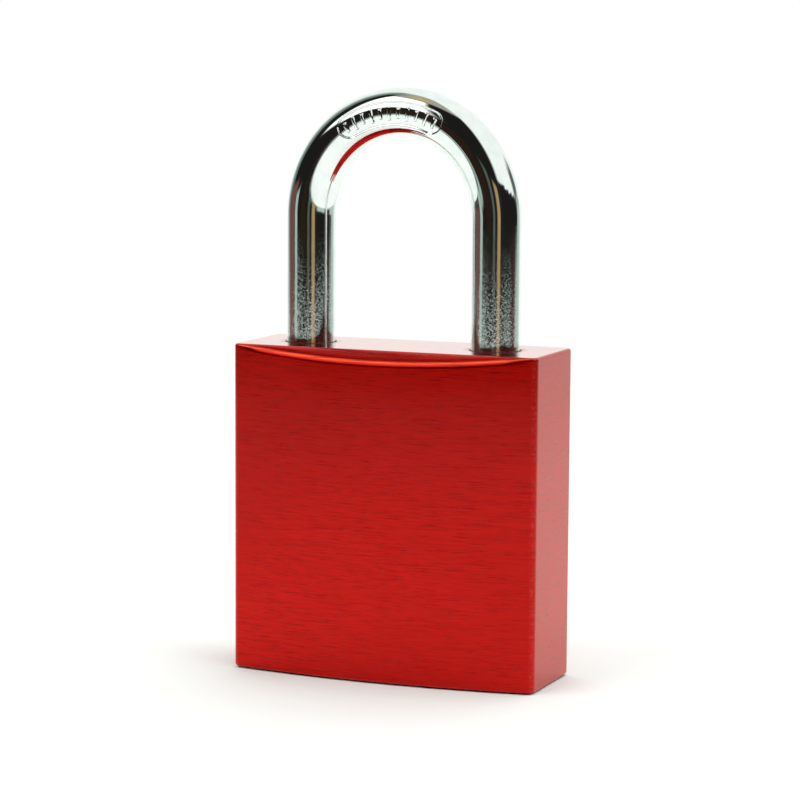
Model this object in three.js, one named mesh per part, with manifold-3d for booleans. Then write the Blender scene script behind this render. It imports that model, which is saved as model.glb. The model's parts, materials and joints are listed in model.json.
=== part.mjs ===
// Keyed safety padlock: a solid block with bowed faces, a round shackle held by two balls, and a
// five-pin cylinder that loads from below. Millimetres, +Z up. The origin is the centre of the
// underside, the broad faces look along -Y and +Y, the heel leg is at -X and the toe leg at +X.
// The model stands locked, with its pins at the shear line.
import * as THREE from 'three';
import { mergeVertices } from 'three/addons/utils/BufferGeometryUtils.js';
import Module from 'manifold-3d';

const wasm = await Module();
wasm.setup();

// ---------------------------------------------------------------- driving sizes

// Block
const BODY_WIDTH = 38;
const BODY_HEIGHT = 38.8;
const SIDE_DEPTH = 12.5; // depth of the block at its narrow side faces
const FACE_BOW = 1.7; // how far each broad face bows out at mid-width
const CORNER_RADIUS = 0.6; // upright edges
const EDGE_BREAK = 0.35; // bevel round the top and bottom edges
const TOP_BEVEL_ANGLE = THREE.MathUtils.degToRad(36); // flat bevel over each broad face
const TOP_WALL = 2; // metal above the cam chamber

// Shackle
const WIRE_DIAMETER = 5.8;
const LEG_PITCH = 23.4; // between the leg axes
const SHACKLE_CLEARANCE = 24.4; // from the block's top to the inside of the arch
const ARCH_ASPECT = 1.05; // height of the arch's half-ellipse over its half-width
const TOE_INSERTION = 10.5; // depth of the toe leg in the block when locked
const OPEN_GAP = 0.5; // space under the toe leg when open
const HEEL_TAIL = 3.5; // heel leg left below its retaining groove
const LEG_CHAMFER = 0.6;

// Locking balls and cam
const BALL_DIAMETER = 4.5;
const BALL_DEPTH = 4.5; // ball centres below the block's top
const BALL_ENGAGEMENT = 1.1; // how far each ball reaches into its leg
const BALL_TRAVEL = 3.3; // how far the toe ball draws back
const KEY_TURN = Math.PI / 2;
const CAM_NECK_DEPTH = 1.85; // how far the cam's neck is turned down
const CAM_COLLAR = 4; // height of the cam's lower collar, which the tang drives

// Cylinder
const PLUG_DIAMETER = 9.5;
const PLUG_FLANGE = 0.6; // how far the flange stands past the plug
const PLUG_FLANGE_HEIGHT = 0.9;
const SHELL_WALL = 1.4;
const SHELL_LENGTH = 21.3;
const FACE_RECESS = 0.2; // cylinder face behind the block's underside
const TANG_WIDTH = 2.4;
const TANG_LENGTH = 6.4;
const TANG_HEIGHT = 2.2;
const CLIP_THICKNESS = 0.5;
const CLIP_GRIP = 0.8; // depth of the clip's groove in the plug
const CLIP_LAP = 0.85; // how far the clip stands past the plug
const KEYWAY_WIDTH = 2.2;
const KEYWAY_LOW = -3.7; // keyway's ends, measured from the plug's axis towards the pins
const KEYWAY_HIGH = 2.9;
const KEYWAY_WARD = 0.55; // height of the two ridges in the keyway
const KEYWAY_DEPTH = 20;

// Pins
const PIN_DIAMETER = 2.2;
const PIN_PITCH = 3.1;
const FIRST_PIN = 3.4; // first pin's axis behind the cylinder's face
const KEY_PIN_LENGTHS = [3.6, 4.4, 3.2, 4.8, 4.0];
const DRIVER_LENGTH = 3;
const CHAMBER_FLOOR = -1.3; // bottom of the plug's pin chambers, from the plug's axis
const PIN_TIP_LENGTH = 0.9;
const PIN_TIP_RADIUS = 0.4;
const PIN_CHAMFER = 0.25;
const PIN_SPRING_LENGTH = 4.5;
const PIN_SPRING_WIRE = 0.3;
const BIBLE_WALL = 0.9; // metal beside the pin chambers
const BIBLE_CORNER = 0.6;
const COVER_THICKNESS = 0.6;
const COVER_LAP = 0.3; // how far the cover reaches past the chambers

// Shackle spring and cylinder screw
const SPRING_INSET = 0.7; // how much thinner than the leg the shackle's spring is
const SPRING_WIRE = 0.7;
const SPRING_TURNS = 7;
const PIN_SPRING_TURNS = 5;
const HEEL_HOLE_FLOOR = 4; // above the block's underside
const SCREW_DIAMETER = 2.5;
const SCREW_ENGAGEMENT = 3.4;
const SCREW_HEAD_DIAMETER = 4.6;
const SCREW_HEAD_HEIGHT = 1.7;
const SCREW_SLOT_WIDTH = 0.8;
const SCREW_SLOT_DEPTH = 0.8;
const SCREW_HEAD_SPACE = 1.2; // between the screw's head and the toe leg

// Clearances
const GAP = 0.3; // between pieces that face each other at rest
const PLAY = 0.15; // around pieces that turn or slide
const BALL_PLAY = 0.1; // between a ball and the cam
const PIN_PLAY = 0.1;
const SHEAR_GAP = 0.1; // the key pins end this far inside the plug's surface
const OVERCUT = 1; // how far a cutting solid reaches past what it cuts

// Facets
const WIRE_SIDES = 24; // round the shackle

// ---------------------------------------------------------------- sizes worked out from them

const bodyTop = BODY_HEIGHT;
const faceY = SIDE_DEPTH / 2 + FACE_BOW;
const wireRadius = WIRE_DIAMETER / 2;
const legX = LEG_PITCH / 2;
const legHoleRadius = wireRadius + PLAY;
const archTop = bodyTop + SHACKLE_CLEARANCE + wireRadius; // arch axis at its highest
const archRise = ARCH_ASPECT * legX;
const archStart = archTop - archRise;
const lift = TOE_INSERTION + OPEN_GAP;
const toeEnd = bodyTop - TOE_INSERTION;
const toeHoleFloor = toeEnd - SCREW_HEAD_SPACE - SCREW_HEAD_HEIGHT;

const ballRadius = BALL_DIAMETER / 2;
const ballZ = bodyTop - BALL_DEPTH;
const ballX = legX - wireRadius + BALL_ENGAGEMENT - ballRadius;
const heelEnd = ballZ - lift - ballRadius - HEEL_TAIL;
const camRadius = ballX - ballRadius - BALL_PLAY;
const camNeckRadius = camRadius - CAM_NECK_DEPTH;
const chamberRadius = camRadius + PLAY;
const chamberTop = bodyTop - TOP_WALL;

const plugRadius = PLUG_DIAMETER / 2;
const shellRadius = plugRadius + PLAY + SHELL_WALL;
const shellTop = FACE_RECESS + SHELL_LENGTH;
const pocketTop = shellTop + GAP;
const clipBottom = pocketTop;
const clipRadius = plugRadius + CLIP_LAP;
const plugBack = clipBottom + CLIP_THICKNESS + 2 * PLAY;
const camBottom = plugBack + GAP;
const camTop = chamberTop - PLAY;

const pinRadius = PIN_DIAMETER / 2;
const pinHoleRadius = pinRadius + PIN_PLAY;
const pinZ = (index) => FACE_RECESS + FIRST_PIN + index * PIN_PITCH;
const lastPinZ = pinZ(KEY_PIN_LENGTHS.length - 1);
const keyPinEnd = Math.sqrt(plugRadius ** 2 - pinRadius ** 2) - SHEAR_GAP;
const driverStart = plugRadius + PLAY;
const pinSpringStart = driverStart + DRIVER_LENGTH + PLAY;
const coverStart = pinSpringStart + PIN_SPRING_LENGTH + PLAY;
const coverHalfWidth = pinHoleRadius + COVER_LAP;
const bibleEnd = coverStart + COVER_THICKNESS + PLAY;
const bibleHalfWidth = pinHoleRadius + BIBLE_WALL;
const screwTip = shellTop - SCREW_ENGAGEMENT;

// ---------------------------------------------------------------- materials

const metal = (color, roughness) => new THREE.MeshStandardMaterial({ color, roughness, metalness: 1 });
const redAluminium = metal(0xb01a14, 0.38);
const chrome = metal(0xd8dcdc, 0.08);
const brass = metal(0xc9a14a, 0.3);
const nickel = metal(0xc4c1b8, 0.25);
const steel = metal(0x9a9c9e, 0.3);
const springSteel = metal(0x77797c, 0.35);

// ---------------------------------------------------------------- helpers

// A three.js geometry as a solid that can be joined and cut.
function solid(geometry) {
  const bare = new THREE.BufferGeometry();
  bare.setAttribute('position', geometry.getAttribute('position').clone());
  if (geometry.index) bare.setIndex(geometry.index.clone());
  const merged = mergeVertices(bare, 1e-4);
  return new wasm.Manifold(new wasm.Mesh({
    numProp: 3,
    vertProperties: new Float32Array(merged.getAttribute('position').array),
    triVerts: new Uint32Array(merged.index.array),
  }));
}

// A solid back to a three.js geometry.
function geometryOf(manifold) {
  const mesh = manifold.getMesh();
  const geometry = new THREE.BufferGeometry();
  geometry.setAttribute('position', new THREE.BufferAttribute(mesh.vertProperties, 3));
  geometry.setIndex(new THREE.BufferAttribute(mesh.triVerts, 1));
  geometry.computeVertexNormals();
  return geometry;
}

// A named mesh at a place.
function piece(name, geometry, material, x = 0, y = 0, z = 0) {
  const mesh = new THREE.Mesh(geometry, material);
  mesh.name = name;
  mesh.position.set(x, y, z);
  return mesh;
}

// An upright round bar or hole from z0 to z1.
function bar(radius, z0, z1, x = 0, y = 0, sides = 32) {
  return new THREE.CylinderGeometry(radius, radius, z1 - z0, sides)
    .rotateX(Math.PI / 2)
    .translate(x, y, (z0 + z1) / 2);
}

// A round bar or hole along X from x0 to x1, at y = 0.
function barAlongX(radius, x0, x1, z, sides = 20) {
  return new THREE.CylinderGeometry(radius, radius, x1 - x0, sides)
    .rotateZ(-Math.PI / 2)
    .translate((x0 + x1) / 2, 0, z);
}

function box(x0, x1, y0, y1, z0, z1) {
  return new THREE.BoxGeometry(x1 - x0, y1 - y0, z1 - z0)
    .translate((x0 + x1) / 2, (y0 + y1) / 2, (z0 + z1) / 2);
}

// Points on an arc, both ends included.
function arc(cx, cy, radius, from, to, steps) {
  return Array.from({ length: steps + 1 }, (_, i) => {
    const angle = from + ((to - from) * i) / steps;
    return new THREE.Vector2(cx + radius * Math.cos(angle), cy + radius * Math.sin(angle));
  });
}

// An outline in X and Y, raised from z0 to z1.
function raise(points, z0, z1) {
  return new THREE.ExtrudeGeometry(new THREE.Shape(points), { depth: z1 - z0, bevelEnabled: false })
    .translate(0, 0, z0);
}

// An outline in X and Z, running from -halfLength to halfLength along Y.
function runAlongY(points, halfLength) {
  return raise(points, -halfLength, halfLength).rotateX(Math.PI / 2);
}

// An outline in Y and Z, running from -halfLength to halfLength along X.
function runAlongX(points, halfLength) {
  return raise(points, -halfLength, halfLength).rotateX(Math.PI / 2).rotateZ(Math.PI / 2);
}

// A turned shape: pairs of radius and height, starting and ending on the axis.
function turned(profile, sides = 32) {
  return new THREE.LatheGeometry(profile.map(([r, z]) => new THREE.Vector2(r, z)), sides)
    .rotateX(Math.PI / 2);
}

// The band that two round ends of one radius sweep out between two points.
function slotOutline(ax, ay, bx, by, radius, steps = 10) {
  const heading = Math.atan2(by - ay, bx - ax);
  return [
    ...arc(ax, ay, radius, heading + Math.PI / 2, heading + 1.5 * Math.PI, steps),
    ...arc(bx, by, radius, heading - Math.PI / 2, heading + Math.PI / 2, steps),
  ];
}

// A helix from z0 to z1 round the Z axis.
class Helix extends THREE.Curve {
  constructor(radius, z0, z1, turns) {
    super();
    Object.assign(this, { radius, z0, z1, turns });
  }

  getPoint(t, target = new THREE.Vector3()) {
    const angle = 2 * Math.PI * this.turns * t;
    const z = this.z0 + (this.z1 - this.z0) * t;
    return target.set(this.radius * Math.cos(angle), this.radius * Math.sin(angle), z);
  }
}

// A coil spring of round wire that fills a length along Z, starting at 0.
function coilSpring(outerDiameter, wire, length, turns, stepsPerTurn, wireSides) {
  const helix = new Helix((outerDiameter - wire) / 2, wire / 2, length - wire / 2, turns);
  const section = new THREE.Shape(arc(0, 0, wire / 2, 0, 2 * Math.PI, wireSides).slice(0, -1));
  const steps = turns * stepsPerTurn;
  return new THREE.ExtrudeGeometry(section, { steps, bevelEnabled: false, extrudePath: helix });
}

// ---------------------------------------------------------------- block

// Outline of the block seen from above: two bowed faces, two flat sides and four round corners.
function blockOutline() {
  const bow = ((BODY_WIDTH / 2) ** 2 + FACE_BOW ** 2) / (2 * FACE_BOW); // radius of a broad face
  const bowCentre = bow - faceY;
  const cornerX = BODY_WIDTH / 2 - CORNER_RADIUS;
  const cornerY = Math.sqrt((bow - CORNER_RADIUS) ** 2 - cornerX ** 2) - bowCentre;
  const lean = Math.asin(cornerX / (bow - CORNER_RADIUS)); // bow's slope where the corner starts
  const quarter = Math.PI / 2;
  return [
    ...arc(0, bowCentre, bow, -quarter - lean, -quarter + lean, 24),
    ...arc(cornerX, -cornerY, CORNER_RADIUS, -quarter + lean, 0, 4).slice(1),
    ...arc(cornerX, cornerY, CORNER_RADIUS, 0, quarter - lean, 4),
    ...arc(0, -bowCentre, bow, quarter - lean, quarter + lean, 24).slice(1),
    ...arc(-cornerX, cornerY, CORNER_RADIUS, quarter + lean, 2 * quarter, 4).slice(1),
    ...arc(-cornerX, -cornerY, CORNER_RADIUS, 2 * quarter, 3 * quarter - lean, 4).slice(0, -1),
  ];
}

// Figure-8 outline of the cylinder, grown by a clearance.
function cylinderOutline(grow) {
  const radius = shellRadius + grow;
  const half = bibleHalfWidth + grow;
  const end = bibleEnd + grow;
  const root = Math.asin(half / radius);
  const corner = BIBLE_CORNER;
  return [
    ...arc(0, 0, radius, root, 2 * Math.PI - root, 40),
    ...arc(end - corner, -half + corner, corner, -Math.PI / 2, 0, 3),
    ...arc(end - corner, half - corner, corner, 0, Math.PI / 2, 3),
  ];
}

function lockBody() {
  const outer = new THREE.ExtrudeGeometry(new THREE.Shape(blockOutline()), {
    depth: bodyTop - 2 * EDGE_BREAK,
    bevelThickness: EDGE_BREAK,
    bevelSize: EDGE_BREAK,
    bevelOffset: -EDGE_BREAK,
    bevelSegments: 1,
  }).translate(0, 0, EDGE_BREAK);
  let block = solid(outer);

  // The flat bevel over each broad face starts on the straight line between the top corners.
  const reach = 3 * FACE_BOW;
  const fall = reach * Math.tan(TOP_BEVEL_ANGLE);
  for (const side of [-1, 1]) {
    const wedge = [
      new THREE.Vector2(side * (SIDE_DEPTH / 2 - reach), bodyTop + fall),
      new THREE.Vector2(side * (SIDE_DEPTH / 2 + reach), bodyTop - fall),
      new THREE.Vector2(side * (SIDE_DEPTH / 2 + reach), bodyTop + fall),
    ];
    block = block.subtract(solid(runAlongX(wedge, BODY_WIDTH / 2 + OVERCUT)));
  }

  const cuts = [
    raise(cylinderOutline(PLAY), -OVERCUT, pocketTop),
    bar(clipRadius + PLAY, pocketTop - OVERCUT, camBottom, 0, 0, 40),
    bar(chamberRadius, camBottom - OVERCUT, chamberTop, 0, 0, 40),
    bar(legHoleRadius, HEEL_HOLE_FLOOR, bodyTop + OVERCUT, -legX),
    bar(legHoleRadius, toeHoleFloor, bodyTop + OVERCUT, legX),
    barAlongX(ballRadius + PLAY, -legX, legX, ballZ),
    bar(SCREW_DIAMETER / 2 + PLAY, pocketTop - OVERCUT, toeHoleFloor + OVERCUT, legX, 0, 16),
  ];
  return cuts.reduce((rest, cut) => rest.subtract(solid(cut)), block);
}

// ---------------------------------------------------------------- shackle

// The shackle's axis from toe to heel. Its first and last steps are the straight legs.
class ShackleAxis extends THREE.Curve {
  constructor(archSteps) {
    super();
    this.steps = archSteps + 2;
  }

  // Even steps of t give the wanted points, so no arc-length correction is made.
  getUtoTmapping(u) {
    return u;
  }

  getPoint(t, target = new THREE.Vector3()) {
    const step = t * this.steps;
    if (step < 1) return target.set(legX, 0, THREE.MathUtils.lerp(toeEnd, archStart, step));
    const left = this.steps - step;
    if (left < 1) return target.set(-legX, 0, THREE.MathUtils.lerp(heelEnd, archStart, left));
    const angle = (Math.PI * (step - 1)) / (this.steps - 2);
    return target.set(legX * Math.cos(angle), 0, archStart + archRise * Math.sin(angle));
  }
}

// What a chamfer takes off the lower end of a leg.
function chamferRing(x, z) {
  const reach = LEG_CHAMFER + OVERCUT;
  const profile = [
    new THREE.Vector2(wireRadius - reach, z - OVERCUT),
    new THREE.Vector2(wireRadius + OVERCUT, z - OVERCUT),
    new THREE.Vector2(wireRadius + OVERCUT, z + reach),
    new THREE.Vector2(wireRadius - reach, z - OVERCUT),
  ];
  return new THREE.LatheGeometry(profile, WIRE_SIDES).rotateX(Math.PI / 2).translate(x, 0, 0);
}

function shackle() {
  const axis = new ShackleAxis(34);
  const section = new THREE.Shape(arc(0, 0, wireRadius, 0, 2 * Math.PI, WIRE_SIDES).slice(0, -1));
  const rod = new THREE.ExtrudeGeometry(section, {
    steps: axis.steps,
    bevelEnabled: false,
    extrudePath: axis,
  });

  // The toe notch is the path of the ball as the leg rises and the ball draws back.
  const notchRadius = ballRadius + PLAY;
  const toeNotch = slotOutline(ballX, ballZ, ballX - BALL_TRAVEL, ballZ - lift, notchRadius);
  // The heel channel lets the leg rise past its ball, and the groove at its lower end goes all round.
  const heelChannel = slotOutline(-ballX, ballZ, -ballX, ballZ - lift, notchRadius);
  const groove = new THREE.LatheGeometry(
    arc(legX - ballX, ballZ - lift, notchRadius, 0, 2 * Math.PI, 16), WIRE_SIDES,
  ).rotateX(Math.PI / 2).translate(-legX, 0, 0);

  const cuts = [
    runAlongY(toeNotch, wireRadius + OVERCUT),
    runAlongY(heelChannel, wireRadius + OVERCUT),
    groove,
    chamferRing(legX, toeEnd),
    chamferRing(-legX, heelEnd),
  ];
  return cuts.reduce((rest, cut) => rest.subtract(solid(cut)), solid(rod));
}

// ---------------------------------------------------------------- cam

// The toe ball's recess, seen from above: the ball's path in the turning cam, grown by the ball.
// It starts beside the ball at rest and ends where the ball lies after a full turn of the key.
function ballRecess() {
  const grow = ballRadius + BALL_PLAY;
  const steps = 24;
  const path = (share) => {
    const angle = -KEY_TURN * share;
    const radius = ballX - BALL_TRAVEL * share;
    return new THREE.Vector2(radius * Math.cos(angle), radius * Math.sin(angle));
  };
  const inner = Array.from({ length: steps + 1 }, (_, i) => {
    const share = i / steps;
    const ahead = path(share + 0.001).sub(path(share - 0.001)).normalize();
    const inwards = new THREE.Vector2(ahead.y, -ahead.x);
    return path(share).add(inwards.multiplyScalar(grow));
  });
  const end = path(1);
  const endHeading = Math.atan2(inner.at(-1).y - end.y, inner.at(-1).x - end.x);
  const outside = camRadius + ballRadius + OVERCUT;
  return [
    ...inner,
    ...arc(end.x, end.y, grow, endHeading, Math.PI, 10).slice(1),
    new THREE.Vector2(end.x - grow, -outside),
    new THREE.Vector2(outside, -outside),
    new THREE.Vector2(outside, inner[0].y),
  ];
}

function cam() {
  const collarTop = camBottom + CAM_COLLAR;
  const headBottom = ballZ - ballRadius - BALL_PLAY - OVERCUT;
  const blank = solid(turned([
    [0, camBottom],
    [camRadius, camBottom],
    [camRadius, collarTop],
    [camNeckRadius, collarTop],
    [camNeckRadius, headBottom],
    [camRadius, headBottom],
    [camRadius, camTop],
    [0, camTop],
  ], 48));
  const tangSlot = box(
    -TANG_LENGTH / 2 - PLAY, TANG_LENGTH / 2 + PLAY,
    -TANG_WIDTH / 2 - PLAY, TANG_WIDTH / 2 + PLAY,
    camBottom - OVERCUT, plugBack + TANG_HEIGHT + GAP,
  );
  const recess = raise(ballRecess(), ballZ - ballRadius - BALL_PLAY, camTop + OVERCUT);
  return blank.subtract(solid(tangSlot)).subtract(solid(recess));
}

// ---------------------------------------------------------------- cylinder

function cylinderShell() {
  const coverSeat = box(
    coverStart, bibleEnd + OVERCUT,
    -coverHalfWidth - PLAY, coverHalfWidth + PLAY,
    pinZ(0) - pinHoleRadius - PLAY, lastPinZ + pinHoleRadius + PLAY,
  );
  const flangeSeat = plugRadius + PLUG_FLANGE + PLAY;
  const cuts = [
    bar(plugRadius + PLAY, -OVERCUT, shellTop + OVERCUT, 0, 0, 48),
    bar(flangeSeat, -OVERCUT, FACE_RECESS + PLUG_FLANGE_HEIGHT + GAP, 0, 0, 48),
    ...KEY_PIN_LENGTHS.map((_, i) => barAlongX(pinHoleRadius, 0, coverStart + OVERCUT / 2, pinZ(i))),
    coverSeat,
    bar(SCREW_DIAMETER / 2 + PLAY, screwTip - GAP, shellTop + OVERCUT, legX, 0, 16),
  ];
  const outer = solid(raise(cylinderOutline(0), FACE_RECESS, shellTop));
  return cuts.reduce((rest, cut) => rest.subtract(solid(cut)), outer);
}

// Section of the keyway: a slot with one ridge in each wall.
function keywayOutline() {
  const half = KEYWAY_WIDTH / 2;
  const ridge = (KEYWAY_HIGH - KEYWAY_LOW) / 6;
  const wall = [[0, 0], [1, 0], [1.3, 1], [2, 1], [2.3, 0], [6, 0]];
  const side = (from, direction, sign) => wall.map(([along, rise]) => new THREE.Vector2(
    from + direction * along * ridge,
    sign * (half - rise * KEYWAY_WARD),
  ));
  return [...side(KEYWAY_LOW, 1, -1), ...side(KEYWAY_HIGH, -1, 1)];
}

function plug() {
  const grooveRadius = plugRadius - CLIP_GRIP;
  const grooveLow = clipBottom - PLAY;
  const grooveHigh = clipBottom + CLIP_THICKNESS + PLAY;
  const flangeTop = FACE_RECESS + PLUG_FLANGE_HEIGHT;
  const barrel = solid(turned([
    [0, FACE_RECESS],
    [plugRadius + PLUG_FLANGE, FACE_RECESS],
    [plugRadius + PLUG_FLANGE, flangeTop],
    [plugRadius, flangeTop],
    [plugRadius, grooveLow],
    [grooveRadius, grooveLow],
    [grooveRadius, grooveHigh],
    [plugRadius, grooveHigh],
    [plugRadius, plugBack],
    [0, plugBack],
  ], 48));
  const tang = box(
    -TANG_LENGTH / 2, TANG_LENGTH / 2,
    -TANG_WIDTH / 2, TANG_WIDTH / 2,
    plugBack - OVERCUT, plugBack + TANG_HEIGHT,
  );
  const cuts = [
    raise(keywayOutline(), FACE_RECESS - OVERCUT, FACE_RECESS + KEYWAY_DEPTH),
    ...KEY_PIN_LENGTHS.map((_, i) => barAlongX(pinHoleRadius, CHAMBER_FLOOR, plugRadius + OVERCUT, pinZ(i))),
  ];
  return cuts.reduce((rest, cut) => rest.subtract(solid(cut)), barrel.add(solid(tang)));
}

// A clip open on one side, which snaps into the plug's groove.
function plugClip() {
  const innerRadius = plugRadius - CLIP_GRIP + PLAY;
  const opening = Math.PI / 4;
  const outline = [
    ...arc(0, 0, clipRadius, opening, 2 * Math.PI - opening, 36),
    ...arc(0, 0, innerRadius, 2 * Math.PI - opening, opening, 36),
  ];
  return raise(outline, 0, CLIP_THICKNESS);
}

// Pins are turned along Z with their lower end at 0, then laid along X when placed.
function keyPin(length) {
  return turned([
    [0, 0],
    [PIN_TIP_RADIUS, 0],
    [pinRadius, PIN_TIP_LENGTH],
    [pinRadius, length - PIN_CHAMFER],
    [pinRadius - PIN_CHAMFER, length],
    [0, length],
  ], 16);
}

function driverPin() {
  return turned([
    [0, 0],
    [pinRadius - PIN_CHAMFER, 0],
    [pinRadius, PIN_CHAMFER],
    [pinRadius, DRIVER_LENGTH - PIN_CHAMFER],
    [pinRadius - PIN_CHAMFER, DRIVER_LENGTH],
    [0, DRIVER_LENGTH],
  ], 16);
}

function cylinderScrew() {
  const headTop = toeHoleFloor + SCREW_HEAD_HEIGHT;
  const blank = solid(turned([
    [0, screwTip],
    [SCREW_DIAMETER / 2, screwTip],
    [SCREW_DIAMETER / 2, toeHoleFloor + PLAY],
    [SCREW_HEAD_DIAMETER / 2, toeHoleFloor + PLAY],
    [SCREW_HEAD_DIAMETER / 2, headTop],
    [0, headTop],
  ], 24));
  const slot = box(
    -SCREW_HEAD_DIAMETER, SCREW_HEAD_DIAMETER,
    -SCREW_SLOT_WIDTH / 2, SCREW_SLOT_WIDTH / 2,
    headTop - SCREW_SLOT_DEPTH, headTop + OVERCUT,
  );
  return blank.subtract(solid(slot));
}

// ---------------------------------------------------------------- assembly

const padlock = new THREE.Group();
padlock.name = 'padlock';

padlock.add(
  piece('lock_body', geometryOf(lockBody()), redAluminium),
  piece('shackle', geometryOf(shackle()), chrome),
);

const shackleSpring = coilSpring(
  WIRE_DIAMETER - SPRING_INSET, SPRING_WIRE, heelEnd - HEEL_HOLE_FLOOR - 2 * GAP, SPRING_TURNS, 12, 5,
);
const ball = new THREE.SphereGeometry(ballRadius, 20, 12);
padlock.add(
  piece('shackle_spring', shackleSpring, springSteel, -legX, 0, HEEL_HOLE_FLOOR + GAP),
  piece('toe_locking_ball', ball, steel, ballX, 0, ballZ),
  piece('heel_retaining_ball', ball, steel, -ballX, 0, ballZ),
  piece('cam', geometryOf(cam()), steel),
);

padlock.add(
  piece('cylinder_shell', geometryOf(cylinderShell()), nickel),
  piece('plug', geometryOf(plug()), brass),
  piece('plug_clip', plugClip(), springSteel, 0, 0, clipBottom),
  piece('cylinder_screw', geometryOf(cylinderScrew()), steel, legX),
);

// Everything in a pin stack lies along +X, so it is built upright and laid down by its group.
const pinStacks = new THREE.Group();
pinStacks.rotation.y = Math.PI / 2;
KEY_PIN_LENGTHS.forEach((length, index) => {
  const number = index + 1;
  const stack = new THREE.Group();
  stack.position.x = -pinZ(index);
  const pinSpring = coilSpring(
    PIN_DIAMETER - PIN_PLAY, PIN_SPRING_WIRE, PIN_SPRING_LENGTH, PIN_SPRING_TURNS, 8, 4,
  );
  stack.add(
    piece(`key_pin_${number}`, keyPin(length), brass, 0, 0, keyPinEnd - length),
    piece(`driver_pin_${number}`, driverPin(), nickel, 0, 0, driverStart),
    piece(`pin_spring_${number}`, pinSpring, springSteel, 0, 0, pinSpringStart),
  );
  pinStacks.add(stack);
});
padlock.add(pinStacks);

const coverLow = pinZ(0) - pinHoleRadius;
const coverHigh = lastPinZ + pinHoleRadius;
const springCover = new THREE.BoxGeometry(COVER_THICKNESS, 2 * coverHalfWidth, coverHigh - coverLow);
padlock.add(piece(
  'spring_cover', springCover, brass,
  coverStart + COVER_THICKNESS / 2 + PLAY / 2, 0, (coverLow + coverHigh) / 2,
));

export default padlock;
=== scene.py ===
import json
import math

import bmesh
import bpy
import numpy as np
from mathutils import Matrix, Vector

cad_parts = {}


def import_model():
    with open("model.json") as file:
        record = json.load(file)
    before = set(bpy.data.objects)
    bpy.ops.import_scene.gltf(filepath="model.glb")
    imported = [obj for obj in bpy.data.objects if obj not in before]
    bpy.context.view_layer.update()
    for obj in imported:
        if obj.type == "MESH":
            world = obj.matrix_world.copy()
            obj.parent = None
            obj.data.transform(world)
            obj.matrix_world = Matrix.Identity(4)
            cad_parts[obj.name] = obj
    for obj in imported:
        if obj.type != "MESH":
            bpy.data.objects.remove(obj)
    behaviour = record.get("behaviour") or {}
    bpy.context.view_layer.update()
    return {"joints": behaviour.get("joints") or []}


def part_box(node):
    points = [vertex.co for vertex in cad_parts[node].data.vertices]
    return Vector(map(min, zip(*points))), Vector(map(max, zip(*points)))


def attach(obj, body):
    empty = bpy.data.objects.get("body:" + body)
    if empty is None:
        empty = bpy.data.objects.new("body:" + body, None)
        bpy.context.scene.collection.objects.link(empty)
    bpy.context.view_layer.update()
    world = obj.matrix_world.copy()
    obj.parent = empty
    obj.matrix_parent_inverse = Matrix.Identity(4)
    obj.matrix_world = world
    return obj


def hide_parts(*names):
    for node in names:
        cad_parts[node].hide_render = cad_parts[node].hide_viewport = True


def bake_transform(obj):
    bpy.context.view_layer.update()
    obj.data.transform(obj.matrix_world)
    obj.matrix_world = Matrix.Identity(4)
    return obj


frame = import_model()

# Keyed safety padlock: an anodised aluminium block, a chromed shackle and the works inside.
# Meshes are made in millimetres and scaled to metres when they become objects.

MM = 0.001


def cad(node):
    """A CAD node's lowest and highest corners, in millimetres."""
    low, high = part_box(node)
    return low / MM, high / MM


# ---------------------------------------------------------------- places from the frame

PIN_COUNT = 5
PLAY = 0.15           # around pieces that turn or slide
GAP = 0.3             # between pieces that face each other
OVERCUT = 1.0         # how far a cutting shape reaches past what it cuts

body_high = cad("lock_body")[1]
shackle_low, shackle_high = cad("shackle")
ball_low, ball_high = cad("toe_locking_ball")
cam_low, cam_high = cad("cam")
shell_low, shell_high = cad("cylinder_shell")
plug_low, plug_high = cad("plug")
clip_low, clip_high = cad("plug_clip")
screw_low, screw_high = cad("cylinder_screw")
cover_low, cover_high = cad("spring_cover")
spring_low, spring_high = cad("shackle_spring")
key_pins = [cad(f"key_pin_{i + 1}") for i in range(PIN_COUNT)]
driver_pins = [cad(f"driver_pin_{i + 1}") for i in range(PIN_COUNT)]
pin_springs = [cad(f"pin_spring_{i + 1}") for i in range(PIN_COUNT)]

half_width = body_high.x
body_top = body_high.z
face_y = body_high.y
FACE_BOW = 1.7
face_radius = (half_width ** 2 + FACE_BOW ** 2) / (2 * FACE_BOW)
side_half = face_y - FACE_BOW          # half the block's depth at its side faces
CORNER_RADIUS = 0.9
EDGE_RADIUS = 0.35
BEVEL_ANGLE = math.radians(36)         # flat bevel over each broad face
BEVEL_BLEND = 0.8                      # how softly each bowed face runs into its bevel
BLEND_FADE = 3.0                       # how far from the upright corners that softness is whole

wire_radius = shackle_high.y
leg_x = shackle_high.x - wire_radius
leg_hole = wire_radius + PLAY
ARCH_ASPECT = 1.05
arch_rise = ARCH_ASPECT * leg_x
arch_start = shackle_high.z - wire_radius - arch_rise
TOE_INSERTION = 10.5
toe_end = body_top - TOE_INSERTION
heel_end = shackle_low.z
HEEL_HOLE_FLOOR = 4.0
lift = 1000 * [j for j in frame["joints"] if j["name"] == "shackle_lift"][0]["range_m"][1]

ball_radius = (ball_high.z - ball_low.z) / 2
ball_x = (ball_high.x + ball_low.x) / 2
ball_z = (ball_high.z + ball_low.z) / 2
BALL_TRAVEL = 3.3
BALL_PLAY = 0.1

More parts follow.
